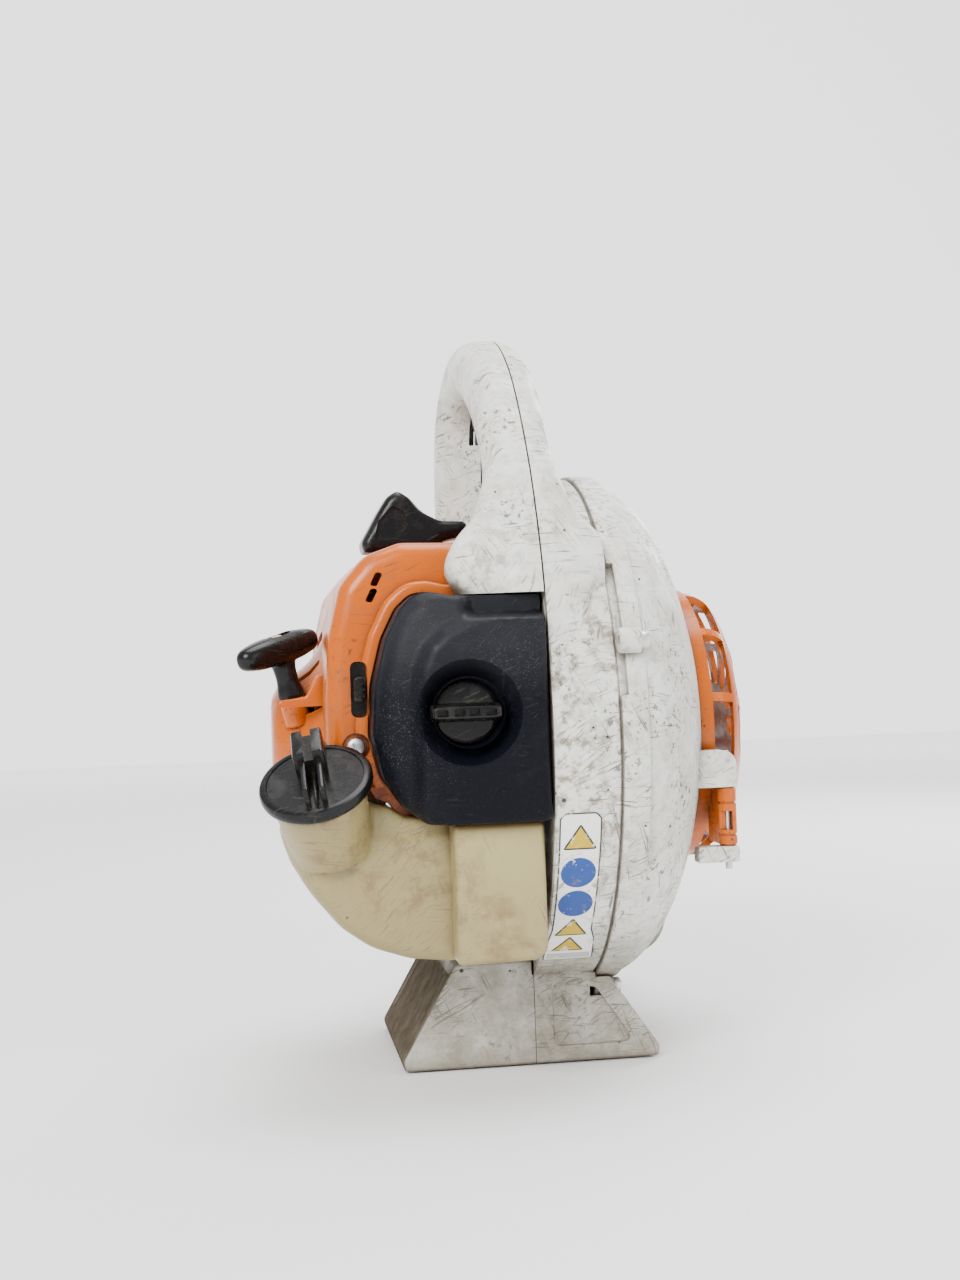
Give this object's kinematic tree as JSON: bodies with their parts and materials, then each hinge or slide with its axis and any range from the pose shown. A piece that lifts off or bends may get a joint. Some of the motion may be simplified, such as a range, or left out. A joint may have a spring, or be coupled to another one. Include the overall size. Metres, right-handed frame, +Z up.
{
  "type": "hand-held blower power unit",
  "caption": "Hand-held petrol leaf blower power unit: white fan housing with a loop handle, orange engine shroud, black filter cover, cream tank and a flared stand.",
  "frame": {"origin": "on the ground under the crankshaft axis, in the housing's parting plane, on the tongue that joins the two soles of the stand", "axes": "+X from the engine to the air inlet, +Y forwards to the air outlet, +Z up"},
  "size_m": [0.2546, 0.2911, 0.37],
  "materials": {
    "white_plastic": "moulded, scuffed and dirty",
    "orange_plastic": "moulded, satin gloss",
    "black_plastic": "fine textured moulding",
    "cast_aluminium": "as cast",
    "steel": "plain, worn",
    "rubber": "matt",
    "cream_plastic": "translucent moulding, stained",
    "filter_felt": "felt",
    "rope": "braided"
  },
  "bodies": {
    "root": {"fan_housing_inner": "white_plastic", "fan_housing_outer": "white_plastic", "handle_shell_left": "white_plastic", "stand_left": "white_plastic", "shroud": "orange_plastic", "starter_housing": "orange_plastic", "outlet_collar": "black_plastic", "spark_plug_boot": "black_plastic", "filter_base": "black_plastic", "ignition_module": "black_plastic", "crankcase_fan_side": "cast_aluminium", "crankcase_starter_side": "cast_aluminium", "cylinder": "cast_aluminium", "carburetor": "cast_aluminium", "guard_hinge_pin": "steel", "housing_screw_1": "steel", "housing_screw_2": "steel", "housing_screw_3": "steel", "housing_screw_4": "steel", "engine_screw_1": "steel", "engine_screw_2": "steel", "engine_screw_3": "steel", "engine_screw_4": "steel", "bearing_fan_side": "steel", "bearing_starter_side": "steel", "spark_plug": "steel", "muffler": "steel", "shroud_screw": "steel", "rewind_spring": "steel", "trigger_pin": "steel", "ignition_lead": "rubber", "intake_manifold": "rubber", "fuel_hose": "rubber", "throttle_cable": "rubber", "fuel_tank": "cream_plastic", "air_filter": "filter_felt"},
    "crank": {"crankshaft_fan_side": "steel", "crankshaft_starter_side": "steel", "fan_wheel": "black_plastic", "fan_nut": "steel", "flywheel": "cast_aluminium", "starter_cup": "steel"},
    "piston": {"piston": "cast_aluminium", "wrist_pin": "steel", "connecting_rod": "steel", "crank_pin": "steel"},
    "rope_rotor": {"rope_rotor": "black_plastic"},
    "starter_grip": {"starter_grip": "black_plastic", "starter_rope": "rope"},
    "trigger": {"throttle_trigger": "black_plastic"},
    "throttle": {"throttle_shaft": "steel"},
    "choke": {"choke_knob": "black_plastic"},
    "primer": {"primer_bulb": "rubber"},
    "filter_cover": {"filter_cover": "black_plastic"},
    "filter_knob": {"filter_knob": "black_plastic"},
    "cap_lift": {"cap_seal": "rubber"},
    "fuel_cap": {"fuel_cap": "black_plastic", "cap_plug": "black_plastic"},
    "guard": {"intake_guard": "orange_plastic", "guard_latch_screw": "steel"}
  },
  "joints": [
    {"name": "crank_spin", "type": "hinge", "parent": "root", "child": "crank", "pos_m": [0, 0, 0.163], "axis": [1, 0, 0], "continuous": true},
    {"name": "piston_slide", "type": "slide", "parent": "root", "child": "piston", "axis": [0, 0, 1], "range_m": [0, 0.028]},
    {"name": "starter_pull", "type": "slide", "parent": "root", "child": "starter_grip", "axis": [-0.2196, -0.1198, 0.9682], "range_m": [0, 0.35], "stiffness_N_per_m": 15, "springref_m": -0.2},
    {"name": "rotor_spin", "type": "hinge", "parent": "root", "child": "rope_rotor", "pos_m": [-0.106, 0, 0.163], "axis": [-1, 0, 0], "range_deg": [0, 800]},
    {"name": "trigger_squeeze", "type": "hinge", "parent": "root", "child": "trigger", "pos_m": [0, 0.057, 0.344], "axis": [-1, 0, 0], "range_deg": [0, 14], "stiffness_Nm_per_rad": 0.05, "springref_deg": -17.19},
    {"name": "throttle_turn", "type": "hinge", "parent": "root", "child": "throttle", "pos_m": [-0.05, -0.058, 0.202], "axis": [0, 0, 1], "range_deg": [0, 61]},
    {"name": "choke_slide", "type": "slide", "parent": "root", "child": "choke", "axis": [0, 0, 1], "range_m": [0, 0.006]},
    {"name": "primer_push", "type": "slide", "parent": "root", "child": "primer", "axis": [1, 0, 0], "range_m": [0, 0.003], "stiffness_N_per_m": 400, "springref_m": -0.0005},
    {"name": "cover_pull", "type": "slide", "parent": "root", "child": "filter_cover", "axis": [0, -1, 0], "range_m": [0, 0.06]},
    {"name": "knob_turn", "type": "hinge", "parent": "filter_cover", "child": "filter_knob", "pos_m": [-0.0385, -0.12, 0.176], "axis": [0, -1, 0], "range_deg": [0, 90]},
    {"name": "cap_lift", "type": "slide", "parent": "root", "child": "cap_lift", "axis": [-0.2052, -0.5299, 0.8229], "range_m": [0, 0.05]},
    {"name": "cap_turn", "type": "hinge", "parent": "cap_lift", "child": "fuel_cap", "pos_m": [-0.1055, -0.107, 0.1445], "axis": [-0.2052, -0.5299, 0.8229], "range_deg": [0, 90]},
    {"name": "guard_swing", "type": "hinge", "parent": "root", "child": "guard", "pos_m": [0.093, -0.078, 0.163], "axis": [0, 0, -1], "range_deg": [0, 100]}
  ],
  "couplings": [
    {"joint": "rotor_spin", "follows": "starter_pull", "rad_per_m": 39},
    {"joint": "throttle_turn", "follows": "trigger_squeeze", "ratio": 4.3}
  ]
}
